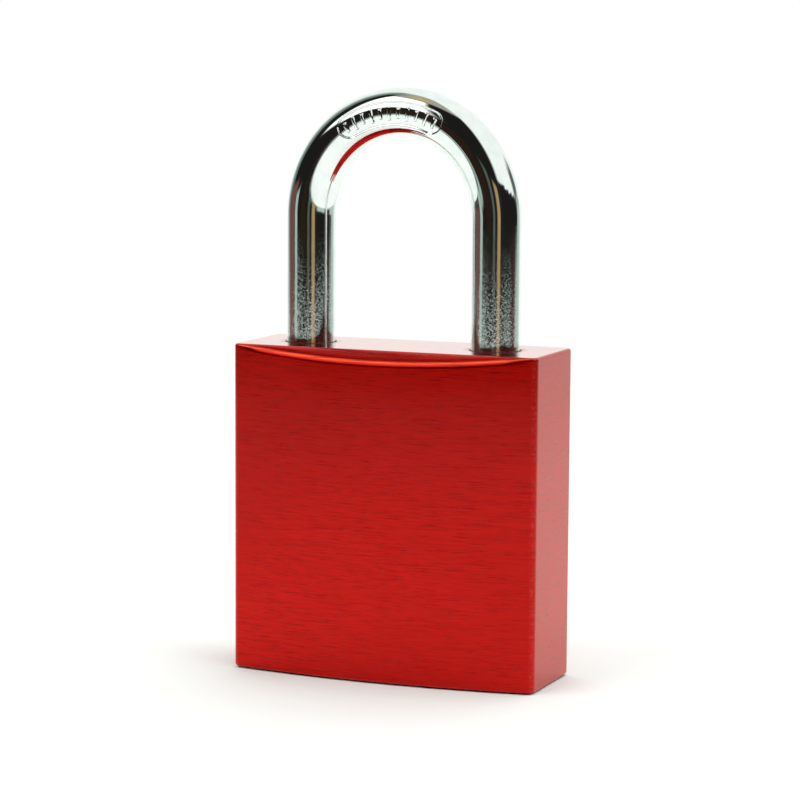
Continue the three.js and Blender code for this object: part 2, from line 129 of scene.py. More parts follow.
cam_radius = cam_high.y
shell_radius = -shell_low.x
shell_top = shell_high.z
pocket_top = shell_top + GAP
clip_radius = clip_high.y
plug_flange = plug_high.y
PLUG_RADIUS = 4.75
PLUG_FLANGE_HEIGHT = 0.9
CLIP_GROOVE_DEPTH = 0.8
TANG_HEIGHT = 2.2
TANG_HALF_LENGTH = 3.2
TANG_HALF_WIDTH = 1.2
plug_back = plug_high.z - TANG_HEIGHT
cylinder_face = plug_low.z
pin_radius = key_pins[0][1].y
pin_hole = pin_radius + 0.1
pin_heights = [(low.z + high.z) / 2 for low, high in key_pins]
bible_end = shell_high.x
BIBLE_HALF = 2.1
SCREW_RADIUS = 1.25
toe_hole_floor = toe_end - 2.9


# ---------------------------------------------------------------- mesh helpers

def loft(rings, closed=False):
    """Vertices and faces through rings of points. The last ring of a closed loft meets its first."""
    rings = np.asarray(rings, float)
    count, size = rings.shape[:2]
    faces = []
    for i in range(count if closed else count - 1):
        a, b = i * size, (i + 1) % count * size
        for j in range(size):
            k = (j + 1) % size
            faces.append((a + j, a + k, b + k, b + j))
    if not closed:
        faces.append(tuple(range(size))[::-1])
        faces.append(tuple(range((count - 1) * size, count * size)))
    return rings.reshape(-1, 3), faces


def shape(name, vertices, faces, place=Matrix.Identity(4)):
    """A new object with its faces pointing out."""
    mesh = bpy.data.meshes.new(name)
    mesh.from_pydata([tuple(v) for v in vertices], [], faces)
    mesh.transform(Matrix.Scale(MM, 4) @ place)
    bm = bmesh.new()
    bm.from_mesh(mesh)
    bmesh.ops.recalc_face_normals(bm, faces=bm.faces)
    bm.to_mesh(mesh)
    bm.free()
    made = bpy.data.objects.new(name, mesh)
    bpy.context.scene.collection.objects.link(made)
    return made


def combine(target, operation, others):
    """Applies a Boolean operation to the target with each of the other shapes, which are used up."""
    for other in others:
        modifier = target.modifiers.new(operation, "BOOLEAN")
        modifier.operation = operation
        modifier.solver = "MANIFOLD"
        modifier.object = other
    evaluated = target.evaluated_get(bpy.context.evaluated_depsgraph_get())
    mesh = bpy.data.meshes.new_from_object(evaluated)
    target.modifiers.clear()
    target.data = mesh
    for other in others:
        bpy.data.objects.remove(other)


def cut(target, *cutters):
    """Takes the cutters' shapes out of the target."""
    combine(target, "DIFFERENCE", cutters)


def circle(radius, sides):
    angles = [math.tau * i / sides for i in range(sides)]
    return [(radius * math.cos(angle), radius * math.sin(angle)) for angle in angles]


def arc(cx, cy, radius, start, end, steps):
    return [(cx + radius * math.cos(start + (end - start) * i / steps),
             cy + radius * math.sin(start + (end - start) * i / steps)) for i in range(steps + 1)]


def rounded(points, radius, steps=4, closed=True):
    """The outline with each corner eased by a curve that starts and ends one radius from it."""
    points = [Vector(p) for p in points]
    eased = []
    for i, corner in enumerate(points):
        if not closed and i in (0, len(points) - 1):
            eased.append(tuple(corner))
            continue
        before, after = points[i - 1], points[(i + 1) % len(points)]
        reach = min(radius, (before - corner).length / 2, (after - corner).length / 2)
        first = corner + (before - corner).normalized() * reach
        last = corner + (after - corner).normalized() * reach
        for k in range(steps + 1):
            t = k / steps
            eased.append(tuple((1 - t) ** 2 * first + 2 * t * (1 - t) * corner + t * t * last))
    return eased


def turned(name, profile, sides=96, place=Matrix.Identity(4), closed=False):
    """A turned shape round Z, from pairs of radius and height."""
    rings = [[(x, y, z) for x, y in circle(r, sides)] for r, z in profile]
    return shape(name, *loft(rings, closed), place)


def inward(outline):
    """Unit vectors that point into an outline from each of its points."""
    ahead = np.roll(outline, -1, 0) - np.roll(outline, 1, 0)
    inwards = np.stack([-ahead[:, 1], ahead[:, 0]], 1)
    inwards /= np.linalg.norm(inwards, axis=1)[:, None]
    return inwards * math.copysign(1, np.cross(outline, np.roll(outline, -1, 0)).sum())


def raised(name, outline, low, high, edge=0.0, place=Matrix.Identity(4)):
    """An outline raised along Z, with its two rims broken by a small round edge."""
    outline = np.array(outline, float)
    if edge:
        inwards = inward(outline)
        turns = np.linspace(0, math.pi / 2, 4)
        levels = [(low + edge * (1 - math.sin(t)), edge * (1 - math.cos(t))) for t in turns[::-1]]
        levels += [(high - edge * (1 - math.sin(t)), edge * (1 - math.cos(t))) for t in turns]
        rings = [[(x, y, z) for x, y in outline + inwards * inset] for z, inset in levels]
    else:
        rings = [[(x, y, z) for x, y in outline] for z in (low, high)]
    return shape(name, *loft(rings), place)


def smooth(piece, angle=38.0, weighted=True):
    """Smooth shading with sharp edges where the surface turns by more than an angle."""
    piece.data.shade_smooth()
    piece.data.set_sharp_from_angle(angle=math.radians(angle))
    if weighted:
        modifier = piece.modifiers.new("weighted", "WEIGHTED_NORMAL")
        modifier.keep_sharp = True
        modifier.weight = 100
    return piece


def add_piece(piece, node, body, material):
    """Finishes a piece that stands for a CAD node and rides on its body."""
    piece.data.materials.clear()
    piece.data.materials.append(material)
    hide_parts(node)
    if body:
        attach(piece, body)


along_x = Matrix.Rotation(math.pi / 2, 4, "Y")


def bar_x(name, radius, x0, x1, z, sides=64):
    """A round bar along X."""
    return turned(name, [(radius, x0), (radius, x1)], sides, Matrix.Translation((0, 0, z)) @ along_x)


def box_shape(name, x0, x1, y0, y1, z0, z1):
    return raised(name, [(x0, y0), (x1, y0), (x1, y1), (x0, y1)], z0, z1)


# ---------------------------------------------------------------- materials

class Graph:
    """A short way to write a node tree."""

    def __init__(self, tree):
        self.tree = tree
        tree.nodes.clear()

    def add(self, kind, inputs=None, out=0, **settings):
        node = self.tree.nodes.new("ShaderNode" + kind)
        for name, value in settings.items():
            setattr(node, name, value)
        for name, value in (inputs or {}).items():
            if isinstance(value, bpy.types.NodeSocket):
                self.tree.links.new(value, node.inputs[name])
            else:
                node.inputs[name].default_value = value
        return node.outputs[out] if node.outputs else node

    def math(self, operation, a, b=0.0):
        return self.add("Math", {0: a, 1: b}, operation=operation)

    def range(self, value, low, high, to_low=0.0, to_high=1.0):
        """A value carried from one range to another by a smooth step."""
        return self.add("MapRange", {"Value": value, "From Min": low, "From Max": high,
                                     "To Min": to_low, "To Max": to_high}, interpolation_type="SMOOTHSTEP")

    def mix(self, factor, a, b, label=""):
        """A mix of two colours."""
        return self.add("Mix", {0: factor, 6: a, 7: b}, out=2, data_type="RGBA", label=label)

    def blend(self, factor, a, b):
        """A mix of two values."""
        return self.add("Mix", {0: factor, 2: a, 3: b}, data_type="FLOAT")

    def part(self, vector, axis):
        """One of a vector's parts: 0, 1 or 2."""
        return self.add("SeparateXYZ", {0: vector}, out=axis)

    def place(self, scale):
        """The piece's own coordinates in millimetres, stretched by a scale."""
        coordinates = self.add("TexCoord", out=3)
        return self.add("Mapping", {"Vector": coordinates, "Scale": tuple(s / MM for s in scale)})

    def noise(self, scale, detail=3.0, roughness=0.5, distortion=0.0):
        return self.add("TexNoise", {"Vector": self.place(scale), "Scale": 1.0, "Detail": detail,
                                     "Roughness": roughness, "Distortion": distortion})

    def bump(self, height, distance, strength=1.0, normal=None):
        inputs = {"Height": height, "Distance": distance * MM, "Strength": strength}
        if normal is not None:
            inputs["Normal"] = normal
        return self.add("Bump", inputs)

    def surface(self, **inputs):
        named = {name.replace("_", " "): value for name, value in inputs.items()}
        shader = self.add("BsdfPrincipled", named)
        self.add("OutputMaterial", {"Surface": shader})


def material(name, slot_colour):
    made = bpy.data.materials.new(name)
    made.use_nodes = True
    made.diffuse_color = slot_colour
    return made, Graph(made.node_tree)


def anodised_red():
    """Brushed aluminium under a clear red oxide layer, with its dye worn thin along the edges, a painted
    highlight line along the foot of each bevel and painted shade round the leg holes.
    """
    made, g = material("red_anodised", (0.6, 0.03, 0.02, 1))
    upright = g.part(g.add("TexCoord", out=1), 2)
    flat_top = g.range(g.math("ABSOLUTE", upright), 0.8, 0.95)
    off_top = g.math("SUBTRACT", 1.0, flat_top)
    sides = g.noise((0.24, 0.24, 6.0), 4.0, 0.66, 0.12)
    fine_sides = g.noise((0.6, 0.6, 15.0), 2.0, 0.6, 0.1)
    top = g.noise((0.16, 7.0, 0.16), 4.0, 0.62)
    broad = g.noise((0.05, 0.05, 0.07), 2.0)
    streaks = g.blend(flat_top, sides, top)
    grain = g.blend(0.45, streaks, fine_sides)
    tone = g.range(grain, 0.34, 0.56)
    red = g.mix(tone, (0.34, 0.0015, 0.0008, 1), (0.60, 0.0050, 0.0015, 1))
    patchy = g.mix(g.range(broad, 0.35, 0.7, 0.0, 0.4), red, (0.46, 0.003, 0.0012, 1))
    edge = g.add("Attribute", out=2, attribute_name="edge")
    chips = g.range(g.noise((3.0, 3.0, 3.0), 3.0, 0.7), 0.5, 0.62)
    worn = g.math("MULTIPLY", g.math("MULTIPLY", edge, off_top), g.range(chips, 0.0, 1.0, 0.02, 0.12))
    colour = g.mix(worn, patchy, (0.86, 0.50, 0.42, 1))
    # Painted highlight: a bright orange line along the foot of each bevel, standing in for the soft light
    # caught by the rounded edge.
    painted_highlight_line = g.add("Attribute", out=2, attribute_name="painted_highlight_line")
    painted_highlight_mix = g.math("MULTIPLY", g.math("MULTIPLY", painted_highlight_line, off_top),
                    g.range(streaks, 0.38, 0.6, 0.35, 1.0))
    colour = g.mix(painted_highlight_mix, colour, (0.88, 0.10, 0.028, 1))
    place = g.add("TexCoord", out=3)
    along = g.math("SUBTRACT", g.math("ABSOLUTE", g.part(place, 0)), leg_x * MM)
    across = g.part(place, 1)
    away = g.math("SQRT", g.math("ADD", g.math("MULTIPLY", along, along),
                                 g.math("MULTIPLY", across, across)))
    smudges = g.range(g.noise((0.7, 2.2, 1.0), 2.0, 0.6), 0.45, 0.60, 0.2, 0.8)
    near_leg = g.range(away, (leg_hole + 0.1) * MM, (leg_hole + 1.0) * MM, 1.0, 0.0)
    stain = g.math("MULTIPLY", flat_top, g.math("MULTIPLY", near_leg, smudges))
    colour = g.mix(stain, colour, (0.13, 0.010, 0.007, 1))
    # Painted shade: a thin near-black ring round the rim of each leg hole, where the gap to the leg lies in
    # shade.
    painted_rim_shade = g.range(away, (leg_hole + 0.02) * MM, (leg_hole + 0.16) * MM, 1.0, 0.0)
    colour = g.mix(painted_rim_shade, colour, (0.05, 0.003, 0.003, 1))
    roughness = g.blend(flat_top, g.range(grain, 0.3, 0.7, 0.26, 0.36), 0.12)
    roughness = g.blend(stain, roughness, 0.6)
    brushing = g.bump(grain, 0.010, 0.5)
    tangent = g.add("Tangent", direction_type="RADIAL", axis="Z")
    g.surface(Base_Color=colour, Metallic=0.84, Roughness=roughness, Normal=brushing, Tangent=tangent,
              Specular_IOR_Level=0.02, Specular_Tint=(1.0, 0.94, 0.86, 1), Anisotropic=0.5,
              Coat_Weight=1.0, Coat_Roughness=0.10, Coat_IOR=1.2)
    return made


def chrome():
    """Bright chrome plate, finely pitted near the ends of the legs."""
    made, g = material("chrome_plate", (0.8, 0.83, 0.82, 1))
    height = g.part(g.add("TexCoord", out=3), 2)
    low_part = g.range(height, (body_top + 19.0) * MM, (body_top + 2.0) * MM)
    pits = g.noise((5.0, 5.0, 4.0), 4.0, 0.7)
    ripple = g.noise((0.5, 0.5, 0.22), 2.0)
    smudge = g.noise((0.9, 0.9, 0.5), 3.0, 0.6)
    pitting = g.math("MULTIPLY", g.range(pits, 0.45, 0.75), low_part)
    waves = g.bump(ripple, 0.012, 0.35)
    rough_normal = g.bump(pitting, 0.006, 0.65, waves)
    roughness = g.math("ADD", g.range(smudge, 0.3, 0.8, 0.03, 0.08), g.math("MULTIPLY", low_part, 0.04))
    colour = g.mix(g.range(smudge, 0.3, 0.75), (0.84, 0.88, 0.86, 1), (0.76, 0.81, 0.79, 1))
    g.surface(Base_Color=colour, Metallic=1.0, Roughness=roughness, Normal=rough_normal)
    return made


def turned_metal(name, light, dark, roughness, ring_scale=6.0):
    """Turned metal: fine tool rings, a little staining and a soft sheen."""
    made, g = material(name, light)
    rings = g.noise((0.4, 0.4, ring_scale), 3.0, 0.6)
    stain = g.noise((0.35, 0.35, 0.35), 4.0, 0.6)
    speck = g.noise((2.5, 2.5, 2.5), 2.0, 0.6)
    colour = g.mix(g.range(stain, 0.35, 0.7), light, dark)
    rough = g.math("ADD", g.range(rings, 0.3, 0.7, roughness - 0.06, roughness + 0.06),
                   g.range(speck, 0.55, 0.75, 0.0, 0.08))
    g.surface(Base_Color=colour, Metallic=1.0, Roughness=rough, Normal=g.bump(rings, 0.012, 0.5))
    return made


RED = anodised_red()
CHROME = chrome()
BRASS = turned_metal("brass", (0.62, 0.40, 0.13, 1), (0.44, 0.27, 0.08, 1), 0.27)
NICKEL = turned_metal("nickel_silver", (0.60, 0.57, 0.51, 1), (0.45, 0.43, 0.38, 1), 0.25)
STEEL = turned_metal("ground_steel", (0.46, 0.47, 0.48, 1), (0.33, 0.33, 0.34, 1), 0.22)
SPRING = turned_metal("spring_wire", (0.34, 0.34, 0.35, 1), (0.22, 0.21, 0.20, 1), 0.30)


# ---------------------------------------------------------------- block

def block_outline():
    """The block seen from above."""
    centre = face_radius - face_y
    corner_x = half_width - CORNER_RADIUS
    corner_y = math.sqrt((face_radius - CORNER_RADIUS) ** 2 - corner_x ** 2) - centre
    lean = math.asin(corner_x / (face_radius - CORNER_RADIUS))
    quarter = math.pi / 2
    sides = []
    for turn in (0, math.pi):
        face = arc(0, centre, face_radius, -quarter - lean, -quarter + lean, 150)
        right = arc(corner_x, -corner_y, CORNER_RADIUS, -quarter + lean, 0, 8)[1:]
        side = [(half_width, -corner_y + 2 * corner_y * i / 40) for i in range(1, 40)]
        back = arc(corner_x, corner_y, CORNER_RADIUS, 0, quarter - lean, 8)[:-1]
        c, s = math.cos(turn), math.sin(turn)
        sides += [(c * x - s * y, s * x + c * y) for x, y in face + right + side + back]
    return np.array(sides)


def block():
    outline = block_outline()
    inwards = inward(outline)
    bevel_foot = body_top - FACE_BOW * math.tan(BEVEL_ANGLE) - BEVEL_BLEND
    quarter_steps = np.linspace(0, math.pi / 2, 7)
    levels = [(EDGE_RADIUS * (1 - math.sin(t)), EDGE_RADIUS * (1 - math.cos(t)))
              for t in quarter_steps[::-1]]
    levels += [(z, 0.0) for z in np.linspace(EDGE_RADIUS, bevel_foot, 24)[1:-1]]
    levels += [(z, 0.0) for z in np.linspace(bevel_foot, body_top - EDGE_RADIUS, 64)[:-1]]
    levels += [(body_top - EDGE_RADIUS * (1 - math.sin(t)), EDGE_RADIUS * (1 - math.cos(t)))
               for t in quarter_steps]
    rings = []
    for z, inset in levels:
        x, y = (outline + inwards * inset).T
        limit = side_half + (body_top - z) / math.tan(BEVEL_ANGLE) - inset * 0.4
        depth = np.abs(y)
        near = np.maximum(BEVEL_BLEND - np.abs(depth - limit), 0) / BEVEL_BLEND
        fade = np.clip((half_width - CORNER_RADIUS - np.abs(x)) / BLEND_FADE, 0, 1)
        depth = np.minimum(depth, limit) - near ** 2 * BEVEL_BLEND / 4 * fade
        rings.append(np.stack([x, np.sign(y) * depth, np.full(len(x), z)], 1))
    piece = shape("lock_body_shell", *loft(rings))

    rim = 0.10
    cavity_sides = 96
    leg_profile = rounded([(leg_hole, 0), (leg_hole, body_top - rim), (leg_hole + rim, body_top),
                           (leg_hole + rim, body_top + OVERCUT)], 0.08, 3, closed=False)

    def leg_cut(name, x, floor):
        profile = [(leg_hole, floor)] + leg_profile[1:]
        return turned(name, profile, cavity_sides, Matrix.Translation((x, 0, 0)))

    cutters = [
        raised("pocket", cylinder_outline(PLAY), -OVERCUT, pocket_top),
        turned("clip_recess", [(clip_radius + PLAY, pocket_top - OVERCUT),
                               (clip_radius + PLAY, cam_low.z)], 64),
        turned("cam_chamber", [(cam_radius + PLAY, cam_low.z - OVERCUT),
                               (cam_radius + PLAY, cam_high.z + PLAY)]),
        leg_cut("heel_hole", -leg_x, HEEL_HOLE_FLOOR),
        leg_cut("toe_hole", leg_x, toe_hole_floor),
        bar_x("ball_hole", ball_radius + PLAY, -leg_x, leg_x, ball_z),
        turned("screw_hole", [(SCREW_RADIUS + PLAY, pocket_top - OVERCUT),
                              (SCREW_RADIUS + PLAY, toe_hole_floor + OVERCUT)], 48,
               Matrix.Translation((leg_x, 0, 0))),
    ]
    cut(piece, *cutters)

    # How near each point lies to an edge where the dye wears thin, and to the foot of each bevel, where a
    # highlight line is painted.
    points = np.array([v.co for v in piece.data.vertices]) / MM
    upright = np.clip(1 - np.hypot(half_width - np.abs(points[:, 0]),
                                   np.maximum(side_half - np.abs(points[:, 1]), 0)) / 0.55, 0, 1)
    rims = np.minimum(points[:, 2], body_top - points[:, 2])
    outside = np.minimum(half_width - np.abs(points[:, 0]), side_half + 0.2 - np.abs(points[:, 1]))
    level = np.clip(1 - np.abs(rims) / 0.3, 0, 1) * np.clip(1 - outside / 0.5, 0, 1)
    bowed = np.sqrt(face_radius ** 2 - points[:, 0] ** 2) - face_radius + face_y
    limit = side_half + (body_top - points[:, 2]) / math.tan(BEVEL_ANGLE)
    # Painted highlight mask: the strip of the bowed faces along the foot of each bevel.
    painted_highlight_line = np.clip(1.2 - np.abs(bowed - limit) / 0.24, 0, 1) * (np.abs(points[:, 1]) > side_half - 0.4)
    for name, shares in (("edge", np.maximum(upright, level)), ("painted_highlight_line", painted_highlight_line)):
        attribute = piece.data.attributes.new(name, "FLOAT", "POINT")
        attribute.data.foreach_set("value", shares.astype(np.float32))
    add_piece(smooth(piece, 40), "lock_body", "lock_body", RED)


def cylinder_outline(grow):
    """The cylinder's figure-8 outline, grown by a clearance."""
    radius, half, end = shell_radius + grow, BIBLE_HALF + grow, bible_end + grow
    root = math.asin(half / radius)
    corner = 0.6
    return (arc(0, 0, radius, root, math.tau - root, 120)
            + arc(end - corner, -half + corner, corner, -math.pi / 2, 0, 8)
            + arc(end - corner, half - corner, corner, 0, math.pi / 2, 8))


# ---------------------------------------------------------------- shackle

PANEL_START = 60.5                     # degrees round the arch, from the toe side
PANEL_END = 126.5
PANEL_MIDDLE = 92.0                    # degrees round the wire, from the outside towards the front
PANEL_HALF = 1.42                      # half the panel's width along the wire's surface
PANEL_DEPTH = 0.20
PANEL_EDGE = 0.16
TICKS = 11
TICK_TALL = 0.86                       # half the height of every other tick, and of those between
TICK_SHORT = 0.60
TICK_HALF_WIDTH = 0.17
TICK_EDGE = 0.10
TICK_RISE = 0.8                        # share of the panel's depth


def shackle_stations():
    """Centres and directions along the shackle, from toe to heel, with the wire's radius at each."""
    centres, outward, radii, along = [], [], [], []
    chamfer = 0.6

    def leg(x, end, heights):
        direction = Vector((math.copysign(1, x), 0, 0))
        for z in heights:
            centres.append(Vector((x, 0, z)))
            outward.append(direction)
            radii.append(wire_radius - max(0.0, chamfer - (z - end)) * 0.95)
            along.append(None)

    def leg_heights(end):
        tip = [end + rise for rise in (0, 0.02, 0.2, 0.4, 0.58, 0.62, 0.8)]
        return tip + list(np.linspace(end + 1.2, arch_start, 50))[:-1]

    leg(leg_x, toe_end, leg_heights(toe_end))
    # Degrees round the arch, in finer steps along the stamped oval.
    turns = np.concatenate([np.linspace(0, 58, 60), np.linspace(58, 129, 330)[1:],
                            np.linspace(129, 180, 54)[1:]])
    for degrees in turns:
        angle = math.radians(degrees)
        centres.append(Vector((leg_x * math.cos(angle), 0, arch_start + arch_rise * math.sin(angle))))
        outward.append(Vector((arch_rise * math.cos(angle), 0, leg_x * math.sin(angle))).normalized())
        radii.append(wire_radius)
        along.append(degrees)
    leg(-leg_x, heel_end, leg_heights(heel_end)[::-1])
    return centres, outward, radii, along


def panel_depth(degrees, around):
    """How deep the stamped oval is pressed at a place on the arch: an oval with raised tick bars."""
    middle = (PANEL_START + PANEL_END) / 2
    scale = math.radians(1) * (leg_x + arch_rise) / 2
    s = (degrees - middle) * scale
    w = math.radians(around - PANEL_MIDDLE) * wire_radius
    half_length = (PANEL_END - PANEL_START) / 2 * scale - PANEL_HALF
    distance = math.hypot(max(abs(s) - half_length, 0), w) - PANEL_HALF
    pressed = np.clip(0.5 - distance / PANEL_EDGE, 0, 1)
    pressed = pressed * pressed * (3 - 2 * pressed)
    pitch = 2 * (half_length + 0.35) / (TICKS - 1)
    nearest = round(s / pitch)
    if abs(nearest) > (TICKS - 1) // 2:
        return PANEL_DEPTH * pressed
    tall = TICK_TALL if nearest % 2 == 0 else TICK_SHORT
    bar = max(abs(s - nearest * pitch) - TICK_HALF_WIDTH, abs(w) - tall)
    raised_bar = np.clip(0.5 - bar / TICK_EDGE, 0, 1)
    return PANEL_DEPTH * (pressed - TICK_RISE * raised_bar * pressed)


def shackle():
    centres, outward, radii, along = shackle_stations()
    front = Vector((0, -1, 0))
    # Angles round the wire, in finer steps across the stamped oval.
    fine = np.radians(np.concatenate([np.linspace(0, 60, 13)[:-1], np.linspace(60, 124, 66)[:-1],
                                      np.linspace(124, 360, 49)[:-1]]))
    rings = []
    for centre, out, radius, degrees in zip(centres, outward, radii, along):
        ring = []
        for angle in fine:
            direction = out * math.cos(angle) + front * math.sin(angle)
            reach = radius
            if degrees is not None and PANEL_START - 2 < degrees < PANEL_END + 2:
                around = math.degrees(angle)
                if 58 < around < 126:
                    reach -= panel_depth(degrees, around)
            ring.append(centre + direction * reach)
        rings.append(ring)
    piece = shape("shackle_rod", *loft(rings))

    notch = ball_radius + PLAY
    flat = Matrix.Rotation(math.pi / 2, 4, "X")

    def slot_cut(name, ax, az, bx, bz):
        heading = math.atan2(bz - az, bx - ax)
        outline = (arc(ax, az, notch, heading + math.pi / 2, heading + 1.5 * math.pi, 32)
                   + arc(bx, bz, notch, heading - math.pi / 2, heading + math.pi / 2, 32))
        return raised(name, outline, -wire_radius - OVERCUT, wire_radius + OVERCUT, 0.0, flat)

    groove_profile = [(leg_x - ball_x + x, ball_z - lift + z) for x, z in circle(notch, 48)]
    cut(
        piece,
        slot_cut("toe_notch", ball_x, ball_z, ball_x - BALL_TRAVEL, ball_z - lift),
        slot_cut("heel_channel", -ball_x, ball_z, -ball_x, ball_z - lift),
        turned("heel_groove", groove_profile, 96, Matrix.Translation((-leg_x, 0, 0)), closed=True),
    )
    add_piece(smooth(piece, 42, weighted=False), "shackle", "shackle", CHROME)


# ---------------------------------------------------------------- springs and balls

def coil(name, outer_radius, wire, length, turns, place):
    """A coil spring along Z from 0, with its end turns closed up."""
    steps = turns * 40
    radius = outer_radius - wire / 2
    rings = []
    for i in range(steps + 1):
        t = i / steps
        angle = math.tau * turns * t
        closed_turn = 1.0 / turns
        rise = np.interp(t, [0, closed_turn, 1 - closed_turn, 1],
                         [0, 1.15 * wire / (length - wire), 1 - 1.15 * wire / (length - wire), 1])
        z = wire / 2 + (length - wire) * rise
        rings.append([((radius + out) * math.cos(angle), (radius + out) * math.sin(angle), z + up)
                      for out, up in circle(wire / 2, 14)])
    return smooth(shape(name, *loft(rings), place), 50, weighted=False)


def shackle_spring():
    length = spring_high.z - spring_low.z
    middle = Matrix.Translation((-leg_x, 0, spring_low.z))
    piece = coil("shackle_spring_coil", spring_high.y, 0.7, length, 7, middle)
    add_piece(piece, "shackle_spring", None, SPRING)
    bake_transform(piece)


def balls():
    for node, body, side in (("toe_locking_ball", "toe_ball", 1), ("heel_retaining_ball", "lock_body", -1)):
        piece = shape(node + "_ground", *loft([[(r * math.cos(a), r * math.sin(a), z)
                                               for a in np.linspace(0, math.tau, 65)[:-1]]
                                              for r, z in sphere_profile(ball_radius, 40)]),
                      Matrix.Translation((side * ball_x, 0, ball_z)))
        add_piece(smooth(piece, 60, weighted=False), node, body, STEEL)


def sphere_profile(radius, steps):
    return [(radius * math.sin(math.pi * t), -radius * math.cos(math.pi * t))
            for t in np.linspace(0.012, 0.988, steps)]


# ---------------------------------------------------------------- cylinder and pins

def cylinder_shell():
    piece = raised("cylinder_shell_turned", cylinder_outline(0), cylinder_face, shell_top, 0.18)
    cover_half = pin_hole + 0.3 + PLAY
    seat = box_shape("cover_seat", cover_low.x - PLAY / 2, bible_end + OVERCUT, -cover_half, cover_half,
                     cover_low.z - PLAY, cover_high.z + PLAY)
    flange = plug_flange + PLAY
    bore = rounded([(flange + 0.15, cylinder_face - OVERCUT), (flange + 0.15, cylinder_face),
                    (flange, cylinder_face + 0.15), (flange, cylinder_face + PLUG_FLANGE_HEIGHT + GAP),
                    (PLUG_RADIUS + PLAY, cylinder_face + PLUG_FLANGE_HEIGHT + GAP),
                    (PLUG_RADIUS + PLAY, shell_top + OVERCUT)], 0.05, 2, closed=False)
    cutters = [turned("bore", bore, 128), seat]
    cutters += [bar_x(f"chamber_{i}", pin_hole, 0, cover_low.x + 0.2, z) for i, z in enumerate(pin_heights)]
    cutters.append(turned("tapping", [(SCREW_RADIUS + PLAY, screw_low.z - GAP),
                                      (SCREW_RADIUS + PLAY, shell_top + OVERCUT)], 48,
                          Matrix.Translation((leg_x, 0, 0))))
    cut(piece, *cutters)
    add_piece(smooth(piece), "cylinder_shell", "lock_body", NICKEL)


def keyway_outline(half=1.1, low=-3.7, high=2.9, ward=0.55):
    step = (high - low) / 6
    wall = [(0, 0), (1, 0), (1.3, 1), (2, 1), (2.3, 0), (6, 0)]
    lower = [(low + a * step, -(half - b * ward)) for a, b in wall]
    upper = [(high - a * step, half - b * ward) for a, b in wall]
    return rounded(lower + upper, 0.15, 3)


def plug():
    groove = PLUG_RADIUS - CLIP_GROOVE_DEPTH
    keyway_depth = 20.0
    chamber_floor = -1.3
    flange_top = cylinder_face + PLUG_FLANGE_HEIGHT
    profile = rounded([(0.01, cylinder_face), (plug_flange, cylinder_face), (plug_flange, flange_top),
                       (PLUG_RADIUS, flange_top), (PLUG_RADIUS, clip_low.z - PLAY),
                       (groove, clip_low.z - PLAY), (groove, clip_high.z + PLAY),
                       (PLUG_RADIUS, clip_high.z + PLAY), (PLUG_RADIUS, plug_back),
                       (0.01, plug_back)], 0.12, 3, closed=False)
    barrel = turned("plug_turned", profile, 128)
    cutters = [raised("keyway", keyway_outline(), cylinder_face - OVERCUT,
                       cylinder_face + keyway_depth)]
    cutters += [bar_x(f"plug_chamber_{i}", pin_hole, chamber_floor, PLUG_RADIUS + OVERCUT, z)
                for i, z in enumerate(pin_heights)]
    cut(barrel, *cutters)
    long, wide = TANG_HALF_LENGTH, TANG_HALF_WIDTH
    tang = raised("tang", rounded([(-long, -wide), (long, -wide), (long, wide), (-long, wide)], 0.2, 3),
                  plug_back - 0.4, plug_high.z, 0.15)
    combine(barrel, "UNION", [tang])
    add_piece(smooth(barrel), "plug", "plug", BRASS)


def plug_clip():
    inner = PLUG_RADIUS - CLIP_GROOVE_DEPTH + PLAY
    opening = math.pi / 4
    outline = rounded(arc(0, 0, clip_radius, opening, math.tau - opening, 90)
                      + arc(0, 0, inner, math.tau - opening, opening, 90), 0.12, 2)
    piece = raised("plug_clip_pressed", outline, clip_low.z, clip_high.z, 0.06)
    add_piece(smooth(piece), "plug_clip", "plug", SPRING)


def cam():
    """The cam's round blank with a driving slot and the toe ball's spiral recess."""
    neck = cam_radius - 1.85
    collar_top = cam_low.z + 4.0
    head_bottom = ball_z - ball_radius - BALL_PLAY - OVERCUT
    profile = rounded([(0.01, cam_low.z), (cam_radius, cam_low.z), (cam_radius, collar_top),
                       (neck, collar_top), (neck, head_bottom), (cam_radius, head_bottom),
                       (cam_radius, cam_high.z), (0.01, cam_high.z)], 0.25, 4, closed=False)
    piece = turned("cam_turned", profile, 128)
    long, wide = TANG_HALF_LENGTH + PLAY, TANG_HALF_WIDTH + PLAY
    slot = box_shape("driving_slot", -long, long, -wide, wide, cam_low.z - OVERCUT, plug_high.z + GAP)
    grow = ball_radius + BALL_PLAY
    turn = math.pi / 2

    def path(share):
        radius = ball_x - BALL_TRAVEL * share
        return Vector((radius * math.cos(-turn * share), radius * math.sin(-turn * share)))

    inner = []
    for share in np.linspace(0, 1, 49):
        ahead = (path(share + 0.001) - path(share - 0.001)).normalized()
        inner.append(tuple(path(share) + Vector((ahead.y, -ahead.x)) * grow))
    end = path(1)
    heading = math.atan2(inner[-1][1] - end.y, inner[-1][0] - end.x)
    outside = cam_radius + ball_radius + OVERCUT
    outline = inner + arc(end.x, end.y, grow, heading, math.pi, 20)[1:] \
        + [(end.x - grow, -outside), (outside, -outside), (outside, inner[0][1])]
    recess = raised("recess", outline, ball_z - ball_radius - BALL_PLAY, cam_high.z + OVERCUT)
    cut(piece, slot, recess)
    add_piece(smooth(piece), "cam", "plug", STEEL)


